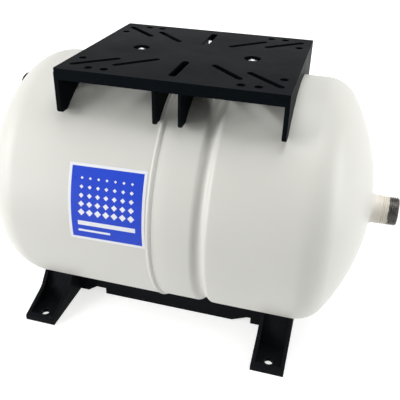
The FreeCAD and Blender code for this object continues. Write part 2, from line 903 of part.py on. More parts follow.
# Pump platform: a ribbed plastic moulding, open underneath, with slots for many pumps
def make_pump_platform():
    body = new_body("pump_platform", x=size["platform_x"])
    tray = new_sketch(body, "XY_Plane", "tray_outline", deck_top)
    rounded_rectangle(tray, half_length, half_depth, size["platform_corner"])
    extrude(body, "Pad", tray, "tray", size["lip_depth"], reverse=True)
    under = new_sketch(body, "XY_Plane", "underside_outline", deck_top - size["lip_depth"])
    inner_x = half_length - size["lip_wall"]
    inner_y = half_depth - size["lip_wall"]
    rectangle(under, -inner_x, -inner_y, inner_x, inner_y)
    extrude(body, "Pocket", under, "underside", size["lip_depth"] - size["deck_wall"], reverse=True)
    end_x = half_length - size["end_wall"] / 2
    add_saddle_wall(body, "left_end_wall", -end_x, size["end_wall"])
    add_saddle_wall(body, "left_middle_wall", -size["middle_wall_offset"], size["middle_wall"])
    add_saddle_wall(body, "right_middle_wall", size["middle_wall_offset"], size["middle_wall"])
    add_saddle_wall(body, "right_end_wall", end_x, size["end_wall"])
    for number, side in enumerate((-1, 1)):
        rib = new_sketch(body, "XZ_Plane", "rib_outline_" + str(number), side * size["platform_rib_offset"])
        rectangle(rib, -end_x, leg(air_radius, 2 * size["platform_rib_offset"]), end_x, deck_under)
        extrude(body, "Pad", rib, "rib_" + str(number), size["platform_rib_wall"], middle=True)
    bosses = new_sketch(body, "XY_Plane", "boss_outline", deck_under)
    for side in (-1, 1):
        circle(bosses, side * size["well_offset"], 0, size["well_radius"] + size["well_wall"])
    extrude(body, "Pad", bosses, "bosses", deck_under - saddle_tip, reverse=True)
    cut_tank_shape(body, size["platform_x"])
    wells = new_sketch(body, "XY_Plane", "well_outline", deck_top)
    holes = new_sketch(body, "XY_Plane", "stud_hole_outline", deck_top)
    pads = new_sketch(body, "XY_Plane", "pad_room_outline", water_radius)
    for side in (-1, 1):
        circle(wells, side * size["well_offset"], 0, size["well_radius"])
        circle(holes, side * size["well_offset"], 0, size["deck_stud_radius"] + size["bolt_gap"])
        circle(pads, side * size["well_offset"], 0, deck_pad_radius + size["bolt_gap"])
    extrude(body, "Pocket", wells, "wells", size["well_depth"])
    extrude(body, "Pocket", holes, "stud_holes", deck_top - water_radius)
    extrude(body, "Pocket", pads, "pad_room", pad_room, reverse=True)
    quarter = new_sketch(body, "XY_Plane", "quarter_outline", deck_top)
    for place in ("inner", "outer"):
        edge = place + "_slot_edge_"
        ends = [(half_length - size[edge + "x" + end], half_depth - size[edge + "y" + end]) for end in "12"]
        slot(quarter, ends[0], ends[1], size["slot_width"])
    for x, y in (("pump_hole_edge_x1", "pump_hole_edge_y"), ("pump_hole_edge_x2", "pump_hole_edge_y"),
                 ("side_hole_edge_x", "side_hole_edge_y")):
        circle(quarter, half_length - size[x], half_depth - size[y], size["pump_hole_radius"])
    pattern = extrude(body, "Pocket", quarter, "quarter_slots", size["deck_wall"])
    mirrored_four_ways(body, pattern, "all_slots")
    centre = new_sketch(body, "XY_Plane", "centre_slot_outline", deck_top)
    for side in (-1, 1):
        ends = [(0, side * (half_depth - size["centre_slot_edge_y" + end])) for end in "12"]
        slot(centre, ends[0], ends[1], size["centre_slot_width"])
    extrude(body, "Pocket", centre, "centre_slots", size["deck_wall"])
    return body


floor = -axis_height
half_base = size["base_depth"] / 2
half_spacing = size["foot_spacing"] / 2
anchor_boss = size["anchor_radius"] + size["anchor_wall"]
anchor_y = half_base - size["anchor_edge"]
base_pad_radius = size["base_stud_radius"] + size["weld_pad_rim"]


def eased(start, corner, end, radius):
    """Two lines that meet at a hollow corner, with an arc that touches both of them."""
    legs = [(end_point[0] - corner[0], end_point[1] - corner[1]) for end_point in (start, end)]
    lengths = [root(run * run + rise * rise) for run, rise in legs]
    cosine = (legs[0][0] * legs[1][0] + legs[0][1] * legs[1][1]) / (lengths[0] * lengths[1])
    reach = radius * root((1 + cosine) / (1 - cosine))
    touches = [(corner[0] + run * reach / length, corner[1] + rise * reach / length)
               for (run, rise), length in zip(legs, lengths)]
    return [start, touches[0], arc(radius, -1), touches[1], end]


ramp_foot_y = half_base - size["toe_slope_run"]
ramp_foot_z = floor + size["toe_height"] + size["toe_slope_rise"]
ramp_top_y = size["ramp_top_depth"]
ramp_top_z = size["ramp_top_rise"] - leg(air_radius, ramp_top_y)


def foot_top():
    """Upper edge of a foot's two side ribs: a gentle toe and a steep ramp up to the tank."""
    toe = (half_base, floor + size["toe_height"])
    return eased(toe, (ramp_foot_y, ramp_foot_z), (ramp_top_y, ramp_top_z), size["ramp_fillet"])


def foot_floor(front, corner, end):
    """A flat bolt pad from the toe to a corner, and a steep face from there up to the tank."""
    return eased((front, corner[1]), corner, end, size["pad_fillet"])


def mirrored_items(items):
    """The same stretch of outline on the other side of the vertical axis."""
    return [item if item[0] == "arc" else (-item[0], item[1]) for item in reversed(items)]


# Base: a moulded foot across each end and a channel beam between them, open underneath
def make_base():
    body = new_body("base")
    seat = air_radius + size["seat_gap"]
    cradle = seat + size["cradle_wall"]
    beam_low = floor + size["beam_clearance"]
    beam_y = size["beam_half_depth"]
    pad = floor + size["pad_height"]
    top = foot_top()
    for number, side in enumerate((-1, 1)):
        foot = new_sketch(body, "YZ_Plane", "foot_outline_" + str(number), side * half_spacing)
        outline(foot, [(-half_base, floor), (half_base, floor)] + top + mirrored_items(top))
        extrude(body, "Pad", foot, "foot_" + str(number), size["foot_width"], middle=True)
    beam = new_sketch(body, "YZ_Plane", "beam_outline")
    rectangle(beam, -beam_y, beam_low, beam_y, -leg(air_radius, beam_y))
    extrude(body, "Pad", beam, "beam", size["foot_spacing"], middle=True)
    pad_end = half_base - size["pad_length"]
    recess = foot_floor(half_base - size["toe_land"], (pad_end, pad),
                        (ramp_top_y, ramp_top_z - size["channel_depth"]))
    above = ramp_top_z + size["toe_height"]
    recess_width = size["foot_width"] - 2 * size["foot_rib_wall"]
    for number, side in enumerate((-1, 1)):
        channel = new_sketch(body, "YZ_Plane", "channel_outline_" + str(number), side * half_spacing)
        outline(channel, [(recess[0][0], above)] + recess + [(ramp_top_y, above)])
        cut = extrude(body, "Pocket", channel, "channel_" + str(number), recess_width, middle=True)
        planes = {item.Role: item for item in body.Origin.OriginFeatures}
        mirror = body.newObject("PartDesign::Mirrored", "channel_mirror_" + str(number))
        mirror.Originals = [cut]
        mirror.MirrorPlane = (planes["XZ_Plane"], [""])
        body.Tip = mirror
        doc.recompute()
    front = half_base - size["foot_wall"]
    tie_y = ramp_top_y - size["foot_wall"] * 0.65
    ceiling_corner = (pad_end - size["foot_wall"] * 0.6, pad - size["foot_wall"])
    ceiling = foot_floor(front, ceiling_corner, (tie_y, -leg(cradle, tie_y)))
    hollow_items = [(-front, floor), (front, floor)] + ceiling + [arc(cradle, -1)] + mirrored_items(ceiling)
    for number, side in enumerate((-1, 1)):
        cavity = new_sketch(body, "YZ_Plane", "foot_cavity_outline_" + str(number), side * half_spacing)
        outline(cavity, hollow_items)
        width = size["foot_width"] - 2 * size["foot_wall"]
        extrude(body, "Pocket", cavity, "foot_cavity_" + str(number), width, middle=True)
    hollow = new_sketch(body, "YZ_Plane", "beam_cavity_outline")
    inner_y = beam_y - size["beam_wall"]
    crown = -leg(cradle, inner_y)
    outline(hollow, [(-inner_y, floor), (inner_y, floor), (inner_y, crown),
                     arc(cradle, -1), (-inner_y, crown)])
    beam_length = size["foot_spacing"] - size["foot_width"]
    extrude(body, "Pocket", hollow, "beam_cavity", beam_length, middle=True)
    notch_top = beam_low + size["notch_height"]
    for number in (-1, 0, 1):
        rib_x = number * size["beam_rib_pitch"]
        rib = new_sketch(body, "YZ_Plane", "beam_rib_outline_" + str(number + 1), rib_x)
        rectangle(rib, -inner_y, notch_top, inner_y, -leg(air_radius, inner_y))
        extrude(body, "Pad", rib, "beam_rib_" + str(number + 1), size["beam_rib_wall"], middle=True)
    bosses = new_sketch(body, "XY_Plane", "base_boss_outline", -(air_radius + size["base_boss_depth"]))
    for side in (-1, 1):
        circle(bosses, side * size["base_stud_offset"], 0, base_pad_radius + size["boss_wall"])
    extrude(body, "Pad", bosses, "base_bosses", 2 * size["base_boss_depth"])
    anchors = new_sketch(body, "XY_Plane", "anchor_boss_outline", floor)
    for side in (-1, 1):
        for end in (-1, 1):
            circle(anchors, side * half_spacing, end * anchor_y, anchor_boss)
    extrude(body, "Pad", anchors, "anchor_bosses", size["pad_height"] - size["foot_wall"] / 2)
    cut_tank_shape(body, 0)
    holes = new_sketch(body, "XY_Plane", "anchor_hole_outline", floor)
    for side in (-1, 1):
        for end in (-1, 1):
            circle(holes, side * half_spacing, end * anchor_y, size["anchor_radius"])
    extrude(body, "Pocket", holes, "anchor_holes", 2 * size["toe_height"], reverse=True)
    studs = new_sketch(body, "XY_Plane", "base_stud_hole_outline", -(air_radius + size["base_boss_depth"]))
    pads = new_sketch(body, "XY_Plane", "base_pad_room_outline", -water_radius)
    for side in (-1, 1):
        circle(studs, side * size["base_stud_offset"], 0, size["base_stud_radius"] + size["bolt_gap"])
        circle(pads, side * size["base_stud_offset"], 0, base_pad_radius + size["bolt_gap"])
    extrude(body, "Pocket", studs, "base_stud_holes", 2 * size["base_boss_depth"], reverse=True)
    extrude(body, "Pocket", pads, "base_pad_room", pad_room)
    notches = new_sketch(body, "XZ_Plane", "notch_outline")
    left_end = -size["left_notch_outer"]
    left_step = -size["left_notch_inner"]
    right_end = size["right_notch_inner"]
    right_step = size["right_notch_outer"]
    left_notch = (left_end, left_step, "left_notch_ramp")
    right_notch = (right_end, right_step, "right_notch_ramp")
    for ramp_x, step_x, run in (left_notch, right_notch):
        outline(notches, [
            (ramp_x, floor),
            (step_x, floor),
            (step_x, notch_top),
            (ramp_x + size[run], notch_top),
            (ramp_x, beam_low)])
    extrude(body, "Pocket", notches, "notches", 3 * beam_y, middle=True)
    return body


# Weld studs, washers and nuts: one pair holds the platform and one pair the base
def shell_radius_at(x):
    return air_radius if x.value < seam.value else water_radius


def make_fastener_pair(name, places, make_one):
    return group(name, [make_one(name + "_" + str(number), x) for number, x in enumerate(places)])


def lifted(distance, side):
    """Height of a point at a distance from the tank's axis, above it or below it."""
    return axis_height + side * distance


def stacked(start, thickness, side):
    """Lower face of a plate that begins at start and grows away from the tank."""
    return lifted(start, side) if side > 0 else lifted(start + thickness, side)


def make_studs(name, places, radius, end, side):
    def one(label, x):
        start = shell_radius_at(x) + size["thread_gap"]
        pad_wall = size["weld_pad_wall"]
        rod = primitive("Cylinder", label + "_rod", {"Radius": radius, "Height": end - start},
                        x=x, z=stacked(start, end - start, side))
        pad_radius = radius + size["weld_pad_rim"]
        pad = primitive("Cylinder", label + "_pad", {"Radius": pad_radius, "Height": pad_wall},
                        x=x, z=stacked(start, pad_wall, side))
        return boolean("Fuse", label, rod, pad)
    return make_fastener_pair(name, places, one)


def make_washers(name, places, radius, bore, start, side):
    def one(label, x):
        wall = size["washer_wall"]
        low = stacked(start, wall, side)
        disc = primitive("Cylinder", label + "_disc", {"Radius": radius, "Height": wall}, x=x, z=low)
        hole = primitive("Cylinder", label + "_hole", {"Radius": bore, "Height": wall}, x=x, z=low)
        return boolean("Cut", label, disc, hole)
    return make_fastener_pair(name, places, one)


def make_nuts(name, places, flats, height, bore, start, side):
    def one(label, x):
        nut = make_hex_nut(label, flats, height, bore)
        bind(nut, "Placement.Base.x", x)
        bind(nut, "Placement.Base.z", lifted(start, side))
        if side < 0:
            nut.Placement.Rotation = FreeCAD.Rotation(FreeCAD.Vector(1, 0, 0), 180)
        return nut
    return make_fastener_pair(name, places, one)


deck_places = [size["platform_x"] - size["well_offset"], size["platform_x"] + size["well_offset"]]
base_places = [-size["base_stud_offset"], size["base_stud_offset"]]
base_seat = air_radius + size["base_boss_depth"]
deck_stack = well_floor + size["washer_wall"] + size["deck_nut_height"]
base_stack = base_seat + size["washer_wall"] + size["base_nut_height"]

node(make_air_side_shell())
node(make_water_side_shell())
node(make_seam_weld())
node(make_clench_ring())
node(make_diaphragm())
node(make_water_liner())
node(make_water_connection())
node(make_connection_seal())
node(make_connection_weld())
node(make_air_valve_body())
node(make_air_valve_core())
node(make_valve_gasket())
node(make_valve_nut())
node(make_valve_seal_cap())
node(make_valve_cap_ring())
node(make_valve_cover())
node(make_front_label())
node(make_pump_platform())
node(make_base())
node(make_studs("platform_studs", deck_places, size["deck_stud_radius"], deck_stack + size["stud_end"], 1))
node(make_washers("platform_washers", deck_places, size["deck_washer_radius"],
                  size["deck_stud_radius"] + size["bolt_gap"], well_floor, 1))
node(make_nuts("platform_nuts", deck_places, size["deck_nut_flats"], size["deck_nut_height"],
               size["deck_stud_radius"] + size["thread_gap"], well_floor + size["washer_wall"], 1))
node(make_studs("base_studs", base_places, size["base_stud_radius"], base_stack + size["stud_end"], -1))
node(make_washers("base_washers", base_places, size["base_washer_radius"],
                  size["base_stud_radius"] + size["bolt_gap"], base_seat, -1))
node(make_nuts("base_nuts", base_places, size["base_nut_flats"], size["base_nut_height"],
               size["base_stud_radius"] + size["thread_gap"], base_seat + size["washer_wall"], -1))

doc.recompute()

# Nothing is written unless every object and every piece is sound
for item in doc.Objects:
    if "Invalid" in item.State or "Error" in item.State:
        raise RuntimeError(item.Name + " could not be computed")
for item in NODES:
    if item.Shape.isNull() or not item.Shape.isValid():
        raise RuntimeError(item.Label + " has no sound shape")
for item in NODES:
    item.Shape.exportStep("parts/" + item.Label + ".step")
    print(item.Label, len(item.Shape.Solids), "solid(s),", round(item.Shape.Volume / 1000, 2), "cm3")
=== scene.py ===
import math
import bmesh
import bpy
from mathutils import Matrix, Vector


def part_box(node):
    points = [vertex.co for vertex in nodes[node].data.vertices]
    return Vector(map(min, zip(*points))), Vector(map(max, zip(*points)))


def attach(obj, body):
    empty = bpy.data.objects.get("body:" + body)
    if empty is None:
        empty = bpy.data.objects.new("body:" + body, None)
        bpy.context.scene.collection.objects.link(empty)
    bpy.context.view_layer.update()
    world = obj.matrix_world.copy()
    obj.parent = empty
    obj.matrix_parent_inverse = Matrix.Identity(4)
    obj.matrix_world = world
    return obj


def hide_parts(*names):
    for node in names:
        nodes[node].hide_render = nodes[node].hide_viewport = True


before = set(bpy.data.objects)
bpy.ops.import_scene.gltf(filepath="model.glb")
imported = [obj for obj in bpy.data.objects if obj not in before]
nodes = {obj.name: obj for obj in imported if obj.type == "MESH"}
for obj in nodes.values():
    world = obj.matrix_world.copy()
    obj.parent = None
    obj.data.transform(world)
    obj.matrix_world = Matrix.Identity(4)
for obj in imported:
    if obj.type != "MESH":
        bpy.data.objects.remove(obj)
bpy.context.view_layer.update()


# Camera: it stands in front of the tank, a little to its right, and looks down on the
# platform at about thirty degrees.
def shown(name, data):
    """A new object that stands in the scene."""
    thing = bpy.data.objects.new(name, data)
    bpy.context.scene.collection.objects.link(thing)
    return thing


camera = shown("camera", bpy.data.cameras.new("camera"))
camera.data.sensor_width = 36
camera.data.lens = 49.733
camera.location = (0.18254, -0.57169, 0.50519)
camera.rotation_euler = (math.radians(59.5615), math.radians(-1.5097), math.radians(15.4895))
bpy.context.scene.camera = camera
bpy.context.scene.view_settings.view_transform = "Standard"


# Base: one injection moulding of black plastic, two feet and a hollow beam between them,
# screwed to two studs under the tank. Its edges are softened as the mould leaves them.
def put(tree, kind, inputs=None, **settings):
    """One node: settings are its properties, inputs are values or the sockets that feed it."""
    item = tree.nodes.new(kind)
    for key, value in settings.items():
        setattr(item, key, value)
    for key, value in (inputs or {}).items():
        if isinstance(value, bpy.types.NodeSocket):
            tree.links.new(value, item.inputs[key])
        else:
            item.inputs[key].default_value = value
    return item


def new_finish(name, **fixed):
    """A material, its tree, its shader with the uniform values set, and the place it reads."""
    finish = bpy.data.materials.new(name)
    finish.use_nodes = True
    tree = finish.node_tree
    shader = tree.nodes["Principled BSDF"]
    for key, value in fixed.items():
        shader.inputs[key.replace("_", " ")].default_value = value
    return finish, tree, shader, put(tree, "ShaderNodeTexCoord").outputs["Object"]


def feed(shader, **sockets):
    """Join patterns to the shader's sockets, whose names are given with _ for a space."""
    for key, value in sockets.items():
        shader.id_data.links.new(value, shader.inputs[key.replace("_", " ")])


def figure(tree, operation, *values):
    """One step of arithmetic inside a tree."""
    return put(tree, "ShaderNodeMath", dict(enumerate(values)), operation=operation).outputs[0]


def grain(tree, place, size, detail=3.0, rough=0.5):
    """Noise whose blobs are about size metres across."""
    return put(tree, "ShaderNodeTexNoise", {
        "Vector": place, "Scale": 1 / size, "Detail": detail, "Roughness": rough}).outputs[0]


def carry(tree, value, start, stop, low=0.0, high=1.0, ease="LINEAR"):
    """Carry the range from start to stop over to the range from low to high."""
    return put(tree, "ShaderNodeMapRange", {
        "Value": value, "From Min": start, "From Max": stop, "To Min": low, "To Max": high},
        interpolation_type=ease).outputs["Result"]


def spread(tree, noise, low, high):
    """Carry the middle of a noise over to a range of values."""
    return carry(tree, noise, 0.3, 0.7, low, high)


def blend(tree, factor, first, second):
    """A colour between two, each a pattern or linear red, green and blue."""
    ends = [end if isinstance(end, bpy.types.NodeSocket) else (*end, 1) for end in (first, second)]
    return put(tree, "ShaderNodeMix", {"Factor": factor, 6: ends[0], 7: ends[1]}, data_type="RGBA").outputs[2]


def relief(tree, height, depth, strength, under=None):
    """A bump of a given depth in metres, over another bump where one lies under it."""
    inputs = {"Height": height, "Distance": depth, "Strength": strength}
    if under is not None:
        inputs["Normal"] = under
    return put(tree, "ShaderNodeBump", inputs).outputs["Normal"]


def plastic_finish(name, dark, light, gloss, etch):
    """Moulded plastic: a fine etched grain, slow changes of gloss, and scuffs that stay grey."""
    finish, tree, shader, place = new_finish(name, IOR=1.49, Specular_IOR_Level=0.012)
    slow = grain(tree, place, 0.045, detail=4.0)
    fine = grain(tree, place, etch, detail=2.0)
    scuffs = carry(tree, grain(tree, place, 0.007, detail=6.0, rough=0.7), 0.6, 0.78)
    scuffed = [2.2 * part for part in light]
    flow = relief(tree, slow, depth=0.0006, strength=0.35)
    clouded = spread(tree, slow, gloss, gloss + 0.1)
    feed(shader,
         Base_Color=blend(tree, scuffs, blend(tree, slow, dark, light), scuffed),
         Roughness=figure(tree, "ADD", clouded, spread(tree, fine, -0.03, 0.03)),
         Normal=relief(tree, fine, depth=0.00008, strength=0.6, under=flow))
    return finish


def keep_shape(piece, modifier):
    """Make what a modifier shows the piece's plain mesh, and take the modifier away."""
    bpy.context.view_layer.update()
    graph = bpy.context.evaluated_depsgraph_get()
    piece.data = bpy.data.meshes.new_from_object(piece.evaluated_get(graph))
    piece.modifiers.remove(modifier)


def shade(mesh, crease):
    """Shade a mesh smooth, apart from the edges that turn by more than crease degrees."""
    mesh.polygons.foreach_set("use_smooth", [True] * len(mesh.polygons))
    mesh.set_sharp_from_angle(angle=math.radians(crease))


def moulded_copy(node, name, edge):
    """The node's own form with its loose triangles joined and its edges rounded."""
    flat_below, sharp_above = math.radians(1), math.radians(24)
    mesh = nodes[node].data.copy()
    mesh.name = name
    work = bmesh.new()
    work.from_mesh(mesh)
    bmesh.ops.remove_doubles(work, verts=work.verts, dist=1e-6)
    bmesh.ops.dissolve_limit(work, angle_limit=flat_below, verts=work.verts, edges=work.edges,
                             use_dissolve_boundaries=False)
    sharp = [e for e in work.edges if e.is_manifold and e.calc_face_angle() > sharp_above]
    bmesh.ops.bevel(work, geom=sharp, offset=edge, offset_type="OFFSET", segments=2, profile=0.5,
                    affect="EDGES", clamp_overlap=True, miter_outer="ARC")
    bmesh.ops.triangulate(work, faces=[f for f in work.faces if len(f.verts) > 4])
    work.to_mesh(mesh)
    work.free()
    mesh.materials.clear()
    shade(mesh, 34)
    piece = shown(name, mesh)
    even = piece.modifiers.new("even_shading", "WEIGHTED_NORMAL")
    even.keep_sharp = True
    keep_shape(piece, even)
    return piece


base_edge = 0.0008
base_black = plastic_finish("black_base_plastic", dark=(0.0085, 0.0093, 0.0110),
                            light=(0.0135, 0.0148, 0.0175), gloss=0.42, etch=0.0006)
base = moulded_copy("base", "moulded_base", base_edge)
base.data.materials.append(base_black)
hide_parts("base")
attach(base, "root")


# Air side shell: a deep-drawn steel cup with a dished end and a hole for the air valve.
# Its open rim laps over the other cup. The paint is a satin off-white powder coat.
axis_height = 0.1845
seam_x = 0.0162
air_radius = 0.140
air_dish_x = -0.134
steel_wall = 0.0016
crown_radius, knuckle_radius = 0.220, 0.039
valve_rise, valve_hole_radius = 0.100, 0.00465
shell_steps, inner_steps, air_row_gap = 232, 14, 0.0125


def dome_centre(dish_x, side, radius):
    """Where on the axis the crown is struck from, for a dish that starts at dish_x."""
    return dish_x - side * math.sqrt((crown_radius - knuckle_radius) ** 2 - (radius - knuckle_radius) ** 2)


def dish(dish_x, side, radius, inset=0.0, hole=0.0, steps=22):
    """Section of a dished end, from the straight shell to the hole in its middle."""
    rise = radius - knuckle_radius
    bend, sweep = knuckle_radius - inset, crown_radius - inset
    centre = dome_centre(dish_x, side, radius)
    meet = math.asin(rise / (crown_radius - knuckle_radius))
    last = math.asin(hole / sweep)
    points = []
    for step in range(steps + 1):
        turn = (math.pi / 2 - meet) * step / steps
        points.append((dish_x + side * bend * math.sin(turn), rise + bend * math.cos(turn)))
    crown_steps = steps + 8
    for step in range(1, crown_steps + 1):
        turn = meet + (last - meet) * step / crown_steps
        points.append((centre + side * sweep * math.cos(turn), max(0.0, sweep * math.sin(turn))))
    return points


def new_tree(name, inputs):
    """A geometry tree with named inputs, and the sockets that give them inside it."""
    tree = bpy.data.node_groups.new(name, "GeometryNodeTree")
    tree.interface.new_socket("Geometry", in_out="INPUT", socket_type="NodeSocketGeometry")
    for label, kind in inputs:
        tree.interface.new_socket(label, in_out="INPUT", socket_type="NodeSocket" + kind)
    tree.interface.new_socket("Geometry", in_out="OUTPUT", socket_type="NodeSocketGeometry")
    return tree, put(tree, "NodeGroupInput").outputs


def moved(tree, shape, position, chosen=True):
    """Move the chosen points of a shape to new positions."""
    return put(tree, "GeometryNodeSetPosition", {
        "Geometry": shape, "Selection": chosen, "Position": position}).outputs[0]


def close_tree(tree, shape, finish):
    """Realize Instances and Set Material at the end of a tree."""
    real = put(tree, "GeometryNodeRealizeInstances", {"Geometry": shape})
    done = put(tree, "GeometryNodeSetMaterial", {"Geometry": real.outputs[0], "Material": finish})
    put(tree, "NodeGroupOutput", {"Geometry": done.outputs[0]})


def run_tree(piece, tree, values):
    """Run a tree on a piece once and keep the plain mesh that comes out."""
    modifier = piece.modifiers.new(tree.name, "NODES")
    modifier.node_group = tree
    for socket in tree.interface.items_tree:
        if socket.in_out == "INPUT" and socket.name in values:
            modifier[socket.identifier] = values[socket.name]
    keep_shape(piece, modifier)


# The turning tree sweeps a section, given as points in a row, once round the X axis
turning, given = new_tree("turning", [("Points", "Int"), ("Steps", "Int"), ("Finish", "Material")])
columns = figure(turning, "ADD", given["Steps"], 1)
sheet = put(turning, "GeometryNodeMeshGrid", {
    "Size X": 1.0, "Size Y": 1.0, "Vertices X": given["Points"], "Vertices Y": columns}).outputs["Mesh"]
count = put(turning, "GeometryNodeInputIndex").outputs[0]
row = figure(turning, "FLOOR", figure(turning, "DIVIDE", count, columns))
column = figure(turning, "MODULO", count, columns)
angle = figure(turning, "DIVIDE", figure(turning, "MULTIPLY", column, 2 * math.pi), given["Steps"])
picked = put(turning, "GeometryNodeSampleIndex", {
    "Geometry": given["Geometry"], "Index": row,
    "Value": put(turning, "GeometryNodeInputPosition").outputs[0]}, data_type="FLOAT_VECTOR").outputs["Value"]
split = put(turning, "ShaderNodeSeparateXYZ", {0: picked}).outputs
spun = put(turning, "ShaderNodeCombineXYZ", {
    "X": split["X"],
    "Y": figure(turning, "MULTIPLY", split["Z"], figure(turning, "SINE", angle)),
    "Z": figure(turning, "MULTIPLY", split["Z"], figure(turning, "COSINE", angle))}).outputs[0]
swept = moved(turning, sheet, spun)
closed = put(turning, "GeometryNodeMergeByDistance", {"Geometry": swept, "Distance": 1e-7}).outputs[0]
close_tree(turning, closed, given["Finish"])


def turned(name, section, steps, finish):
    """A closed solid turned from a section of (along the axis, distance from it) pairs."""
    mesh = bpy.data.meshes.new(name)
    mesh.from_pydata([(x, 0, r) for x, r in section + section[:1]], [], [])
    piece = shown(name, mesh)
    run_tree(piece, turning, {"Points": len(section) + 1, "Steps": steps, "Finish": finish})
    return piece


def settle(piece, place, crease=30):
    """Put the mesh in its place, turn its faces outwards and shade it."""
    mesh = piece.data
    mesh.transform(place)
    work = bmesh.new()
    work.from_mesh(mesh)
    bmesh.ops.remove_doubles(work, verts=work.verts, dist=1e-7)
    bmesh.ops.recalc_face_normals(work, faces=work.faces)
    if work.calc_volume(signed=True) < 0:
        bmesh.ops.reverse_faces(work, faces=work.faces)
    work.to_mesh(mesh)
    work.free()
    shade(mesh, crease)


paint, tree, shader, place = new_finish("off_white_powder_coat", IOR=1.5,
                                        Coat_Weight=0.12, Coat_Roughness=0.30)
cloud = grain(tree, place, 0.09)
peel = grain(tree, place, 0.0022, detail=2.0)
speck = grain(tree, place, 0.0011, detail=2.0, rough=0.7)
wavy = relief(tree, cloud, depth=0.004, strength=0.12)
orange_peel = relief(tree, peel, depth=0.00006, strength=0.45, under=wavy)
feed(shader,
     Base_Color=blend(tree, cloud, (0.665, 0.662, 0.615), (0.715, 0.712, 0.665)),
     Roughness=spread(tree, cloud, 0.42, 0.50),
     Normal=relief(tree, speck, depth=0.00002, strength=0.3, under=orange_peel))

tank_axis = Matrix.Translation((0, 0, axis_height))
air_section = [(seam_x, air_radius)]
air_section += [(seam_x - air_row_gap * step, air_radius) for step in range(1, 12)]
air_section += dish(air_dish_x, -1, air_radius)
air_section += reversed(dish(air_dish_x, -1, air_radius, steel_wall, steps=inner_steps))
air_section += [(seam_x, air_radius - steel_wall)]
air_shell = turned("air_side_steel", air_section, shell_steps, paint)
settle(air_shell, tank_axis)

valve_lean = math.asin(valve_rise / crown_radius)
valve_normal = Vector((-math.cos(valve_lean), 0, math.sin(valve_lean)))
valve_foot = Vector((dome_centre(air_dish_x, -1, air_radius), 0, axis_height)) + crown_radius * valve_normal
valve_turn = Vector((1, 0, 0)).rotation_difference(valve_normal).to_matrix().to_4x4()
valve_place = Matrix.Translation(valve_foot) @ valve_turn
drill_reach = 0.006
drill = turned("drill", [(-drill_reach, 0.0), (-drill_reach, valve_hole_radius),
                         (drill_reach, valve_hole_radius), (drill_reach, 0.0)], 48, paint)
settle(drill, valve_place)
cut = air_shell.modifiers.new("valve_hole", "BOOLEAN")
cut.operation = "DIFFERENCE"
cut.solver = "EXACT"
cut.object = drill
keep_shape(air_shell, cut)
bpy.data.objects.remove(drill)
settle(air_shell, Matrix.Identity(4))
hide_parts("air_side_shell")
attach(air_shell, "root")

# Water side shell: the second steel cup. Its joggled rim slides into the first, a rolled
# groove bites on the clench ring inside, and the water connection sits in its end.
water_radius = 0.139
water_dish_x = 0.165
port_radius = 0.01645
lap_gap, lap_reach, joggle = 0.0001, 0.010, 0.0025
spigot = air_radius - steel_wall - lap_gap
groove_x, groove_half, groove_depth = 0.068, 0.010, 0.0045
plain_x, water_row_gap = seam_x + 0.020, 0.0145


def rolled_groove(inset):
    """Section of the groove: two shoulder arcs and a valley arc, from left to right."""
    bend = (groove_half ** 2 + groove_depth ** 2) / (4 * groove_depth)
    shoulder, hollow = bend - inset, bend + inset
    top, bottom = water_radius - bend, water_radius - groove_depth + bend
    left_x = groove_x - groove_half
    reach = math.asin(groove_half / 2 / bend)
    turns = [reach * step / 7 for step in range(8)]
    left = [(left_x + shoulder * math.sin(t), top + shoulder * math.cos(t)) for t in turns]
    across = turns[-2::-1] + [-t for t in turns[1:-1]]
    valley = [(groove_x - hollow * math.sin(t), bottom - hollow * math.cos(t)) for t in across]
    right = [(2 * groove_x - x, r) for x, r in reversed(left)]
    return left + valley + right


rim_x = seam_x - lap_reach
water_section = [(rim_x, spigot - steel_wall), (rim_x, spigot), (seam_x, spigot)]
water_section += [(seam_x + joggle, water_radius), (plain_x, water_radius)]
water_section += rolled_groove(0.0)
water_section += [(groove_x + groove_half + water_row_gap * step, water_radius) for step in range(1, 6)]
water_section += dish(water_dish_x, 1, water_radius, hole=port_radius)
water_section += reversed(dish(water_dish_x, 1, water_radius, steel_wall, port_radius, inner_steps))
water_section += reversed(rolled_groove(steel_wall))
water_section += [(seam_x + joggle + steel_wall / 2, water_radius - steel_wall)]
water_section += [(seam_x + steel_wall / 2, spigot - steel_wall)]
water_shell = turned("water_side_steel", water_section, shell_steps, paint)
settle(water_shell, tank_axis)
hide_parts("water_side_shell")
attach(water_shell, "root")


# Seam weld: one machine-laid bead round the lap of the two cups, painted over. It has the
# fine crescent ripples that such a bead keeps under the paint.
def round_axis(tree):
    """Each point's place, its X, Y and Z, its distance from the X axis and its angle round it."""
    place = put(tree, "GeometryNodeInputPosition").outputs[0]
    split = put(tree, "ShaderNodeSeparateXYZ", {0: place}).outputs
    flat = put(tree, "ShaderNodeCombineXYZ", {"Y": split["Y"], "Z": split["Z"]}).outputs[0]
    reach = put(tree, "ShaderNodeVectorMath", {0: flat}, operation="LENGTH").outputs["Value"]
    return place, split, reach, figure(tree, "ARCTAN2", split["Y"], split["Z"])


def at_distance(tree, split, reach, wanted):
    """The point straight in or out from each point, at the distance wanted from the X axis."""
    ratio = figure(tree, "DIVIDE", wanted, reach)
    return put(tree, "ShaderNodeCombineXYZ", {
        "X": split["X"], "Y": figure(tree, "MULTIPLY", split["Y"], ratio),
        "Z": figure(tree, "MULTIPLY", split["Z"], ratio)}).outputs[0]


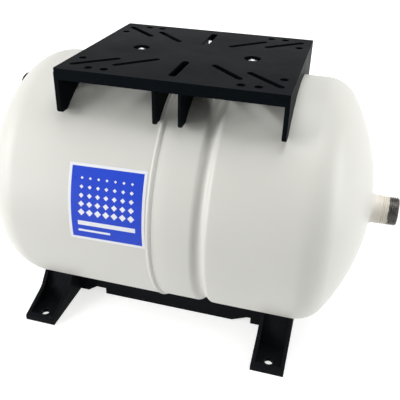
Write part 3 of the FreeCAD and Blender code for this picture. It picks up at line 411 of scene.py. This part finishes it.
rippling, given = new_tree("rippling", [("Ripples", "Float"), ("Height", "Float"), ("Foot", "Float"),
                                        ("Middle", "Float"), ("Width", "Float"), ("Finish", "Material")])
place, split, reach, turn = round_axis(rippling)
aside = figure(rippling, "DIVIDE", figure(rippling, "SUBTRACT", split["X"], given["Middle"]), given["Width"])
crescent = figure(rippling, "MULTIPLY", figure(rippling, "MULTIPLY", aside, aside), 5.0)
swept = figure(rippling, "SUBTRACT", figure(rippling, "MULTIPLY", turn, given["Ripples"]), crescent)
ripple = figure(rippling, "MULTIPLY", figure(rippling, "SINE", swept), 0.5)
noise = put(rippling, "ShaderNodeTexNoise", {"Vector": place, "Scale": 160.0, "Detail": 1.0}).outputs[0]
lumps = figure(rippling, "MULTIPLY", figure(rippling, "SUBTRACT", noise, 0.5), 2.0)
wave = figure(rippling, "MULTIPLY", figure(rippling, "ADD", ripple, lumps), given["Height"])
proud = carry(rippling, figure(rippling, "SUBTRACT", reach, given["Foot"]), 0.0, 0.0008)
grown = figure(rippling, "ADD", reach, figure(rippling, "MULTIPLY", wave, proud))
pushed = at_distance(rippling, split, reach, grown)
close_tree(rippling, moved(rippling, given["Geometry"], pushed), given["Finish"])

weld_gap = 0.00003
bead_left, bead_right = seam_x - 0.0020, seam_x + 0.0030
bead_rise, bead_steps = 0.00135, 14
air_foot, water_foot = air_radius + weld_gap, water_radius + weld_gap
bead_section = [(bead_left, air_foot), (seam_x + weld_gap, air_foot), (seam_x + weld_gap, water_foot),
                (bead_right, water_foot)]
for step in range(1, bead_steps):
    share = step / bead_steps
    bulge = bead_rise * math.sin(math.pi * share) ** 0.8
    bead_section.append((bead_right + (bead_left - bead_right) * share,
                         water_foot + (air_foot - water_foot) * share + bulge))
seam_bead = turned("seam_bead", bead_section, 1500, paint)
run_tree(seam_bead, rippling, {"Ripples": 420.0, "Height": 0.00012, "Foot": 0.1394, "Middle": seam_x,
                               "Width": 0.005, "Finish": paint})
settle(seam_bead, tank_axis, 60)
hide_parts("seam_weld")
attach(seam_bead, "root")

# Water connection: a stainless nipple, turned in one piece, with a pipe thread on its outer
# half. The tank's paint covers its collar and runs out over the first turns of the thread.
threading, given = new_tree("threading", [("Start", "Float"), ("End", "Float"), ("Radius", "Float"),
                                          ("Pitch", "Float"), ("Depth", "Float"), ("Finish", "Material")])
place, split, reach, turn = round_axis(threading)
along = figure(threading, "DIVIDE", split["X"], given["Pitch"])
phase = figure(threading, "FRACT", figure(
    threading, "SUBTRACT", along, figure(threading, "DIVIDE", turn, 2 * math.pi)))
zigzag = figure(threading, "SUBTRACT", figure(threading, "MULTIPLY", phase, 2.0), 1.0)
crest = carry(threading, figure(threading, "ABSOLUTE", zigzag), 0.08, 0.92, ease="SMOOTHSTEP")
groove = figure(threading, "MULTIPLY", figure(threading, "SUBTRACT", 1.0, crest), given["Depth"])
past_start = figure(threading, "SUBTRACT", split["X"], given["Start"])
runout = carry(threading, figure(threading, "DIVIDE", past_start, given["Pitch"]), 0.0, 1.0)
bottom = figure(threading, "SUBTRACT", given["Radius"], figure(threading, "MULTIPLY", groove, runout))
ground = figure(threading, "MINIMUM", reach, bottom)
after = figure(threading, "GREATER_THAN", split["X"], given["Start"])
before = figure(threading, "LESS_THAN", split["X"], given["End"])
off_axis = figure(threading, "GREATER_THAN", reach, 0.0005)
chosen = figure(threading, "MULTIPLY", figure(threading, "MULTIPLY", after, before), off_axis)
pushed = at_distance(threading, split, reach, ground)
close_tree(threading, moved(threading, given["Geometry"], pushed, chosen), given["Finish"])

pole_x = 0.2341294
dome_x = pole_x - crown_radius
collar_radius, collar_length = 0.0163, 0.0095
thread_radius, thread_length = 0.0166, 0.0195
thread_pitch, thread_depth, thread_rows = 0.002309, 0.00148, 112
bore_radius, flange_radius, flange_thick = 0.0125, 0.026, 0.003
bore_round, lip_radius, tip_radius, tip_round = 0.0003, 0.0150, 0.0152, 0.0001
liner_wall, fit_gap = 0.002, 0.0002
paint_end, paint_ragged = 0.2525, 0.005

stainless, tree, shader, place = new_finish("stainless_half_painted", IOR=1.5)
along = put(tree, "ShaderNodeSeparateXYZ", {0: place}).outputs["X"]
uneven = figure(tree, "SUBTRACT", grain(tree, place, 0.006), 0.5)
edge_x = figure(tree, "ADD", along, figure(tree, "MULTIPLY", uneven, paint_ragged))
bare = carry(tree, edge_x, paint_end - 0.0003, paint_end + 0.0003)
lathe_marks = put(tree, "ShaderNodeTexWave", {
    "Vector": place, "Scale": 1400.0, "Distortion": 1.5, "Detail": 2.0}, bands_direction="X").outputs[0]
# The bare steel is kept far darker than stainless really is. This is painted dark reflection, standing in for
# dark surroundings mirrored in the steel. The lathe marks vary it in fine bands.
marked_steel_painted_dark = blend(tree, lathe_marks, (0.035, 0.033, 0.031), (0.24, 0.228, 0.212))
coat = relief(tree, grain(tree, place, 0.002), depth=0.00005, strength=0.4)
# The paint on the collar and the first turns of the thread is paler than the same paint on the tank. This is
# a painted highlight for the light that the collar catches.
feed(shader,
     Base_Color=blend(tree, bare, (0.80, 0.76, 0.68), marked_steel_painted_dark),
     Metallic=bare,
     Roughness=carry(tree, bare, 0.0, 1.0, 0.4, 0.18),
     Normal=relief(tree, lathe_marks, depth=0.00001, strength=0.3, under=coat))


def on_dome(distance, inset=0.0):
    """How far along X the dished end, or a face a little under it, is at a distance from the axis."""
    return dome_x + math.sqrt((crown_radius - inset) ** 2 - distance ** 2)


thread_from = pole_x + collar_length
nipple_end = thread_from + thread_length
flange_inset = steel_wall + fit_gap + liner_wall + fit_gap
face_x = on_dome(flange_radius, flange_inset) - flange_thick
collar_rows = (thread_from - 0.0004, pole_x + 0.0045, pole_x + 0.001)
flange_rows = (collar_radius, 0.0195, 0.0228, flange_radius)
nipple_section = [(face_x + (nipple_end - face_x) * step / 8, bore_radius) for step in range(8)]
nipple_section += [(nipple_end - bore_round, bore_radius), (nipple_end, bore_radius + bore_round)]
nipple_section += [(nipple_end, lip_radius)]
for step in range(thread_rows + 1):
    share = step / thread_rows
    nipple_section.append((nipple_end - tip_round - (thread_length - tip_round) * share,
                           min(thread_radius, tip_radius + thread_length * share)))
nipple_section += [(x, collar_radius) for x in collar_rows]
nipple_section += [(on_dome(r, flange_inset), r) for r in flange_rows]
nipple_section += [(face_x, flange_radius)]
nipple = turned("water_nipple", nipple_section, 144, stainless)
run_tree(nipple, threading, {"Start": thread_from, "End": nipple_end - 0.00005, "Radius": thread_radius,
                             "Pitch": thread_pitch, "Depth": thread_depth, "Finish": stainless})
settle(nipple, tank_axis, 40)
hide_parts("water_connection")
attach(nipple, "root")

# Connection weld: a hand-laid fillet that joins the nipple to the dished end, painted over.
# Its ripples are coarser than those of the seam, and its face is a little hollow.
weld_in, weld_leg = collar_radius + weld_gap, 0.003
weld_foot = on_dome(weld_in) + weld_gap
weld_low = on_dome(weld_in + weld_leg) + weld_gap
weld_tip = weld_foot + weld_leg
fillet_sag, fillet_steps = 0.0003, 8
fillet_section = [(weld_foot, weld_in), (weld_tip, weld_in)]
for step in range(1, fillet_steps + 1):
    share = step / fillet_steps
    sag = fillet_sag * math.sin(math.pi * share)
    fillet_section.append((weld_tip + (weld_low - weld_tip) * share - sag, weld_in + weld_leg * share - sag))
fillet = turned("nipple_fillet", fillet_section, 480, paint)
run_tree(fillet, rippling, {"Ripples": 62.0, "Height": 0.00025, "Foot": weld_in + 0.0002, "Middle": weld_foot,
                            "Width": 0.004, "Finish": paint})
settle(fillet, tank_axis, 60)
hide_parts("connection_weld")
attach(fillet, "root")


# Clench ring: a channel rolled from bare strip steel. It hides behind the groove and holds
# the rims of the diaphragm and of the liner.
def mottled_finish(name, colours, gloss, blotch, pit, pit_depth, pitting, rough=0.5, detail=4.0, **fixed):
    """A finish with blotches of two colours and two glosses, and finer pits where pit is given."""
    finish, tree, shader, place = new_finish(name, **fixed)
    blotches = grain(tree, place, blotch, detail, rough)
    pits = grain(tree, place, pit) if pit else blotches
    feed(shader,
         Base_Color=blend(tree, blotches, *colours),
         Roughness=spread(tree, blotches, *gloss),
         Normal=relief(tree, pits, pit_depth, pitting))
    return finish


def dress(finish, *names):
    """Give the frame's own nodes their finish."""
    for name in names:
        for slot in nodes[name].material_slots:
            slot.material = finish


mill_steel = mottled_finish(
    "mill_steel", colours=((0.17, 0.165, 0.16), (0.34, 0.33, 0.32)), gloss=(0.32, 0.52),
    blotch=0.012, pit=0.0015, pit_depth=0.00003, pitting=0.5, rough=0.65, detail=5.0, Metallic=1.0, IOR=2.0)
dress(mill_steel, "clench_ring")

# Diaphragm: a cup moulded from butyl rubber, with the chalky bloom that such rubber has.
# The air charge presses it towards the water side.
butyl = mottled_finish(
    "butyl_rubber", colours=((0.010, 0.010, 0.010), (0.026, 0.026, 0.027)), gloss=(0.55, 0.78),
    blotch=0.03, pit=0.0009, pit_depth=0.00004, pitting=0.6, rough=0.6, detail=5.0, IOR=1.52)
dress(butyl, "diaphragm")

# Liner: a bowl moulded from natural polypropylene that keeps the water off the steel. It is
# milky and a little glossy.
milky = mottled_finish(
    "milky_polypropylene", colours=((0.56, 0.60, 0.62), (0.66, 0.70, 0.71)), gloss=(0.28, 0.38),
    blotch=0.05, pit=0.0025, pit_depth=0.00005, pitting=0.35, detail=3.0, IOR=1.49)
dress(milky, "water_liner")

# Rubber seals: the ring squeezed under the nipple's flange, the gasket under the air valve's
# flange and the small ring in its seal cap.
seal_black = mottled_finish(
    "seal_rubber", colours=((0.008, 0.008, 0.008), (0.018, 0.018, 0.018)), gloss=(0.38, 0.55),
    blotch=0.004, pit=None, pit_depth=0.00003, pitting=0.4, IOR=1.52)
dress(seal_black, "connection_seal", "valve_gasket", "valve_cap_ring")

# Air valve: a turned brass body with its core, a hexagon nut on the outside of the steel and
# a brass seal cap, all under the cover.
brass = mottled_finish(
    "turned_brass", colours=((0.56, 0.37, 0.13), (0.78, 0.56, 0.24)), gloss=(0.18, 0.36),
    blotch=0.006, pit=0.0006, pit_depth=0.00001, pitting=0.5, rough=0.6, Metallic=1.0, IOR=1.5)
dress(brass, "air_valve_body", "air_valve_core", "valve_nut", "valve_seal_cap")

# Valve cover: a small cap moulded from black plastic, with grip flutes round its side. It is
# pushed on over the air valve and holds by a lip inside its rim.
fluting, given = new_tree("fluting", [("Flutes", "Float"), ("Depth", "Float"), ("Low", "Float"),
                                      ("High", "Float"), ("Radius", "Float"), ("Finish", "Material")])
place, split, reach, turn = round_axis(fluting)
lobes = figure(fluting, "COSINE", figure(fluting, "MULTIPLY", turn, given["Flutes"]))
flute = figure(fluting, "MULTIPLY", carry(fluting, lobes, -0.2, 1.0, ease="SMOOTHSTEP"), given["Depth"])
rise = carry(fluting, figure(fluting, "SUBTRACT", split["X"], given["Low"]), 0.0, 0.0008)
fall = carry(fluting, figure(fluting, "SUBTRACT", given["High"], split["X"]), 0.0, 0.0008)
bite = figure(fluting, "MULTIPLY", flute, figure(fluting, "MULTIPLY", rise, fall))
carved = at_distance(fluting, split, reach, figure(fluting, "SUBTRACT", reach, bite))
outside = figure(fluting, "GREATER_THAN", reach, given["Radius"])
close_tree(fluting, moved(fluting, given["Geometry"], carved, outside), given["Finish"])

cover_low, cover_top = 0.00015, 0.01078
cover_outer, cover_inner, cover_grip = 0.0082, 0.0069, 0.0064
cover_edge, cover_steps, cover_crown = 0.0025, 8, 0.003
rim_round, row_gap, cover_rows = 0.0002, 0.0007, 11
lip_height, cover_skin, inner_corner = 0.003, 0.0013, 0.0015
lip_x, ceiling_x = cover_low + lip_height, cover_top - cover_skin
cover_black = plastic_finish("black_cover_plastic", dark=(0.006, 0.006, 0.0065), light=(0.011, 0.011, 0.012),
                             gloss=0.33, etch=0.0004)
cover_section = [(cover_low, cover_grip), (cover_low, cover_outer - rim_round),
                 (cover_low + rim_round, cover_outer)]
cover_section += [(cover_low + 2 * rim_round + row_gap * step, cover_outer) for step in range(cover_rows)]
for step in range(1, cover_steps + 1):
    turn = math.pi / 2 * step / cover_steps
    cover_section.append((cover_top - cover_edge * (1 - math.sin(turn)),
                          cover_outer - cover_edge * (1 - math.cos(turn))))
cover_section += [(cover_top - 0.0001, cover_crown), (cover_top - 0.00015, 0.0)]
cover_section += [(ceiling_x, 0.0), (ceiling_x, cover_inner - inner_corner)]
cover_section += [(ceiling_x - inner_corner, cover_inner), (lip_x, cover_inner), (lip_x, cover_grip)]
cover = turned("fluted_cover", cover_section, 252, cover_black)
run_tree(cover, fluting, {"Flutes": 24.0, "Depth": 0.0005, "Low": 0.0012, "High": 0.0079, "Radius": 0.0079,
                          "Finish": cover_black})
settle(cover, valve_place, 40)
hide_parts("valve_cover")
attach(cover, "root")

# Label: a printed film stuck on the front of the air side, blue with a white border. Its
# print is a plain lattice of white diamonds over two bars.
label_left, label_width = -0.070, 0.083
label_turn = math.radians(34.0)
label_lift = math.radians(12.6)
label_tilt = math.radians(1.2)
label_out, label_back = 0.14025, 0.14005
label_height = label_turn * label_out
cells_across, cells_up = 8, 40


def wrapped(across, up, radius):
    """A point of the film, from its two shares of width and height."""
    side, rise = (across - 0.5) * label_width, (up - 0.5) * label_height
    x = label_left + label_width / 2 + side * math.cos(label_tilt) - rise * math.sin(label_tilt)
    turn = label_lift + (rise * math.cos(label_tilt) + side * math.sin(label_tilt)) / label_out
    return (x, -radius * math.cos(turn), axis_height + radius * math.sin(turn))


def film_face(work, chart, corners, cells):
    """One face of the film, with the place of each corner on the print."""
    face = work.faces.new(corners)
    for loop, (i, j) in zip(face.loops, cells):
        loop[chart].uv = (i / cells_across, j / cells_up)


def film_sheet(work, chart, radius, face_out):
    """One side of the film, as columns of its points."""
    grid = [[work.verts.new(wrapped(i / cells_across, j / cells_up, radius)) for j in range(cells_up + 1)]
            for i in range(cells_across + 1)]
    for i in range(cells_across):
        for j in range(cells_up):
            ring = [(i, j), (i + 1, j), (i + 1, j + 1), (i, j + 1)]
            if not face_out:
                ring.reverse()
            film_face(work, chart, [grid[a][b] for a, b in ring], ring)
    return grid


film_mesh = bpy.data.meshes.new("label_print")
work = bmesh.new()
chart = work.loops.layers.uv.new("film")
front = film_sheet(work, chart, label_out, True)
back = film_sheet(work, chart, label_back, False)
rim = [(i, 0) for i in range(cells_across)] + [(cells_across, j) for j in range(cells_up)]
rim += [(i, cells_up) for i in range(cells_across, 0, -1)] + [(0, j) for j in range(cells_up, 0, -1)]
for (a, b), (c, d) in zip(rim, rim[1:] + rim[:1]):
    corners = [front[a][b], back[a][b], back[c][d], front[c][d]]
    film_face(work, chart, corners, ((a, b), (a, b), (c, d), (c, d)))
bmesh.ops.recalc_face_normals(work, faces=work.faces)
work.to_mesh(film_mesh)
work.free()
label = shown("label_print", film_mesh)
shade(film_mesh, 40)

# The print's sizes are in millimetres from the middle of the label
field_half_x, field_half_y, soft_edge = 38.5, 38.6, 0.05
print_left, print_right = -31.5, 31.5
lattice_low, lattice_high, lattice_pitch = -13.5, 31.5, 9.0
largest_at, smallest_at, largest, smallest = -14.0, 31.0, 4.1, 1.3
long_bar_low, long_bar_high = -24.0, -19.0
short_bar_low, short_bar_high, short_bar_right = -31.5, -29.0, 4.0
print_film, tree, shader, place = new_finish("printed_film", IOR=1.5, Specular_IOR_Level=0.25)
print_place = put(tree, "ShaderNodeUVMap", uv_map="film").outputs["UV"]
split = put(tree, "ShaderNodeSeparateXYZ", {0: print_place}).outputs
across = figure(tree, "MULTIPLY", figure(tree, "SUBTRACT", split["X"], 0.5), label_width * 1000)
upward = figure(tree, "MULTIPLY", figure(tree, "SUBTRACT", split["Y"], 0.5), label_height * 1000)


def inside(value, low, high):
    """1 between two levels, with an edge a tenth of a millimetre soft."""
    rise = carry(tree, value, low - soft_edge, low + soft_edge)
    fall = carry(tree, value, high + soft_edge, high - soft_edge)
    return figure(tree, "MULTIPLY", rise, fall)


def boxed(low_x, high_x, low_y, high_y):
    """1 inside an upright box of the print."""
    return figure(tree, "MULTIPLY", inside(across, low_x, high_x), inside(upward, low_y, high_y))


def off_centre(value):
    """Distance from the nearest line of the lattice."""
    shifted = figure(tree, "FRACT", figure(tree, "ADD", figure(tree, "DIVIDE", value, lattice_pitch), 0.5))
    aside = figure(tree, "ABSOLUTE", figure(tree, "SUBTRACT", shifted, 0.5))
    return figure(tree, "MULTIPLY", aside, lattice_pitch)


field = boxed(-field_half_x, field_half_x, -field_half_y, field_half_y)
diamond = figure(tree, "ADD", off_centre(across), off_centre(upward))
grow = carry(tree, upward, largest_at, smallest_at, largest, smallest)
diamonds = carry(tree, figure(tree, "SUBTRACT", grow, diamond), -soft_edge, soft_edge)
spots = figure(tree, "MULTIPLY", diamonds, boxed(print_left, print_right, lattice_low, lattice_high))
long_bar = boxed(print_left, print_right, long_bar_low, long_bar_high)
short_bar = boxed(print_left, short_bar_right, short_bar_low, short_bar_high)
white = figure(tree, "MAXIMUM", spots, figure(tree, "MAXIMUM", long_bar, short_bar))
ink = figure(tree, "MULTIPLY", field, figure(tree, "SUBTRACT", 1.0, white))
uneven = grain(tree, place, 0.02)
blue = blend(tree, uneven, (0.013, 0.056, 0.57), (0.018, 0.070, 0.65))
feed(shader,
     Base_Color=blend(tree, ink, (0.86, 0.88, 0.92), blue),
     Roughness=spread(tree, uneven, 0.26, 0.34),
     Normal=relief(tree, grain(tree, place, 0.008), depth=0.0002, strength=0.12))
film_mesh.materials.append(print_film)
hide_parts("front_label")
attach(label, "root")

# Pump platform: one injection moulding of black plastic with slots and holes for many pumps
# and four cross walls that stand on the tank. Two nuts in wells hold it down.
platform_edge = 0.0009
platform_black = plastic_finish("black_platform_plastic", dark=(0.0026, 0.0038, 0.0050),
                                light=(0.0048, 0.0066, 0.0086), gloss=0.40, etch=0.0006)
platform = moulded_copy("pump_platform", "moulded_platform", platform_edge)
platform.data.materials.append(platform_black)
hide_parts("pump_platform")
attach(platform, "root")

# Fasteners: bright zinc-plated steel. Studs are welded on the shell, and a washer and a
# hexagon nut go on each from outside: two above for the platform, two below for the base.
zinc = mottled_finish(
    "bright_zinc", colours=((0.60, 0.61, 0.62), (0.80, 0.80, 0.78)), gloss=(0.16, 0.30),
    blotch=0.003, pit=0.0008, pit_depth=0.00001, pitting=0.5, rough=0.6, Metallic=1.0, IOR=1.5)
dress(zinc, "platform_washers", "platform_nuts", "base_washers", "base_nuts")
pad_thick, pad_round = 0.0015, 0.0002
rod_start, thread_start, rows_per_turn = 0.0020, 0.0021, 12
tip_share, end_share = 0.8, 0.78


def threaded_stud(name, foot, length, radius, pitch, pad_radius, place):
    """A weld stud along its own X axis: a round pad, a rod and its thread."""
    section = [(0.0, 0.0), (0.0, pad_radius - pad_round), (pad_round, pad_radius),
               (pad_thick - pad_round, pad_radius), (pad_thick, pad_radius - pad_round), (pad_thick, radius)]
    rows = int((length - thread_start) / pitch * rows_per_turn)
    for step in range(rows + 1):
        x = rod_start + (length - thread_start) * step / rows
        section.append((x, min(radius, radius * tip_share + length - x)))
    section += [(length, radius * end_share), (length, 0.0)]
    stud = turned(name, section, 40, zinc)
    run_tree(stud, threading, {"Start": thread_start, "End": length - 0.00002, "Radius": radius,
                               "Pitch": pitch, "Depth": 0.61 * pitch, "Finish": zinc})
    stud.data.transform(Matrix.Translation((foot, 0, 0)))
    settle(stud, place, 40)
    return stud


def joined_pair(name, pair, node):
    """Two like pieces as one, because the frame keeps them as one node."""
    work = bmesh.new()
    for piece in pair:
        work.from_mesh(piece.data)
        bpy.data.objects.remove(piece)
    mesh = bpy.data.meshes.new(name)
    work.to_mesh(mesh)
    work.free()
    mesh.materials.append(zinc)
    both = shown(name, mesh)
    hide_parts(node)
    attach(both, "root")


upright = Matrix.Rotation(math.radians(-90), 4, "Y")
hanging = Matrix.Rotation(math.radians(90), 4, "Y")
for node, places, radius, pitch, pad_radius, lie in (
        ("platform_studs", (-0.038, 0.086), 0.003, 0.001, 0.0065, upright),
        ("base_studs", (-0.072, 0.072), 0.004, 0.00125, 0.0075, hanging)):
    low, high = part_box(node)
    end = high.z - axis_height if lie is upright else axis_height - low.z
    pair = []
    for number, x in enumerate(places):
        foot = (air_radius if x < seam_x else water_radius) + 0.00005
        pair.append(threaded_stud(node + str(number), foot, end - foot, radius, pitch, pad_radius,
                                  Matrix.Translation((x, 0, axis_height)) @ lie))
    joined_pair("threaded_" + node, pair, node)


# Floor, lamps and surroundings: a white studio floor under soft boxes. The camera, glossy
# metal and clear things see the surroundings as plain white.
def seen_directly(tree):
    """1 for the camera, glossy metal and clear things, and 0 for the light on the object."""
    ray = put(tree, "ShaderNodeLightPath").outputs
    glossy_or_clear = figure(tree, "MAXIMUM", ray["Is Glossy Ray"], ray["Is Transmission Ray"])
    return figure(tree, "MAXIMUM", ray["Is Camera Ray"], glossy_or_clear)


floor_half = 6
floor_mesh = bpy.data.meshes.new("floor")
floor_mesh.from_pydata([(-floor_half, -floor_half, 0), (floor_half, -floor_half, 0),
                        (floor_half, floor_half, 0), (-floor_half, floor_half, 0)], [], [(0, 1, 2, 3)])
floor = shown("floor", floor_mesh)
floor_finish, tree, shader, place = new_finish(
    "white_floor", Base_Color=(0.72, 0.72, 0.72, 1), Roughness=0.8, Specular_IOR_Level=0.0)
away = put(tree, "ShaderNodeVectorMath", {0: place}, operation="LENGTH").outputs["Value"]
paler = carry(tree, away, 0.5, 1.6, 0.70, 1.0, ease="SMOOTHSTEP")
glow = put(tree, "ShaderNodeEmission", {
    "Color": (1, 1, 1, 1), "Strength": figure(tree, "MULTIPLY", seen_directly(tree), paler)}).outputs[0]
both = put(tree, "ShaderNodeAddShader", {0: shader.outputs[0], 1: glow}).outputs[0]
tree.links.new(both, tree.nodes["Material Output"].inputs["Surface"])
floor_mesh.materials.append(floor_finish)

world = bpy.data.worlds.new("studio")
bpy.context.scene.world = world
world.use_nodes = True
backdrop = world.node_tree.nodes["Background"]
feed(backdrop, Strength=carry(world.node_tree, seen_directly(world.node_tree), 0.0, 1.0, 0.18, 1.0))
backdrop.inputs["Color"].default_value = (1, 1, 1, 1)


def soft_box(name, place, target, width, height, power):
    """A studio lamp with a broad front, turned to its target."""
    lamp = bpy.data.lights.new(name, "AREA")
    lamp.shape = "RECTANGLE"
    lamp.size = width
    lamp.size_y = height
    lamp.energy = power
    box = shown(name, lamp)
    box.location = place
    box.rotation_euler = (Vector(target) - Vector(place)).to_track_quat("-Z", "Y").to_euler()


soft_box("key_box", (-1.72, -1.00, 0.92), target=(-0.1, 0.0, 0.18), width=1.0, height=1.0, power=22)
soft_box("fill_box", (-1.05, -1.05, 0.22), target=(-0.1, 0.0, 0.14), width=0.6, height=0.35, power=6.0)
soft_box("side_box", (1.35, 0.0, 0.50), target=(0.2, 0.0, 0.18), width=0.6, height=0.9, power=9.0)
soft_box("top_box", (0.2, 0.1, 2.0), target=(0.1, 0.0, 0.2), width=1.6, height=1.2, power=23)
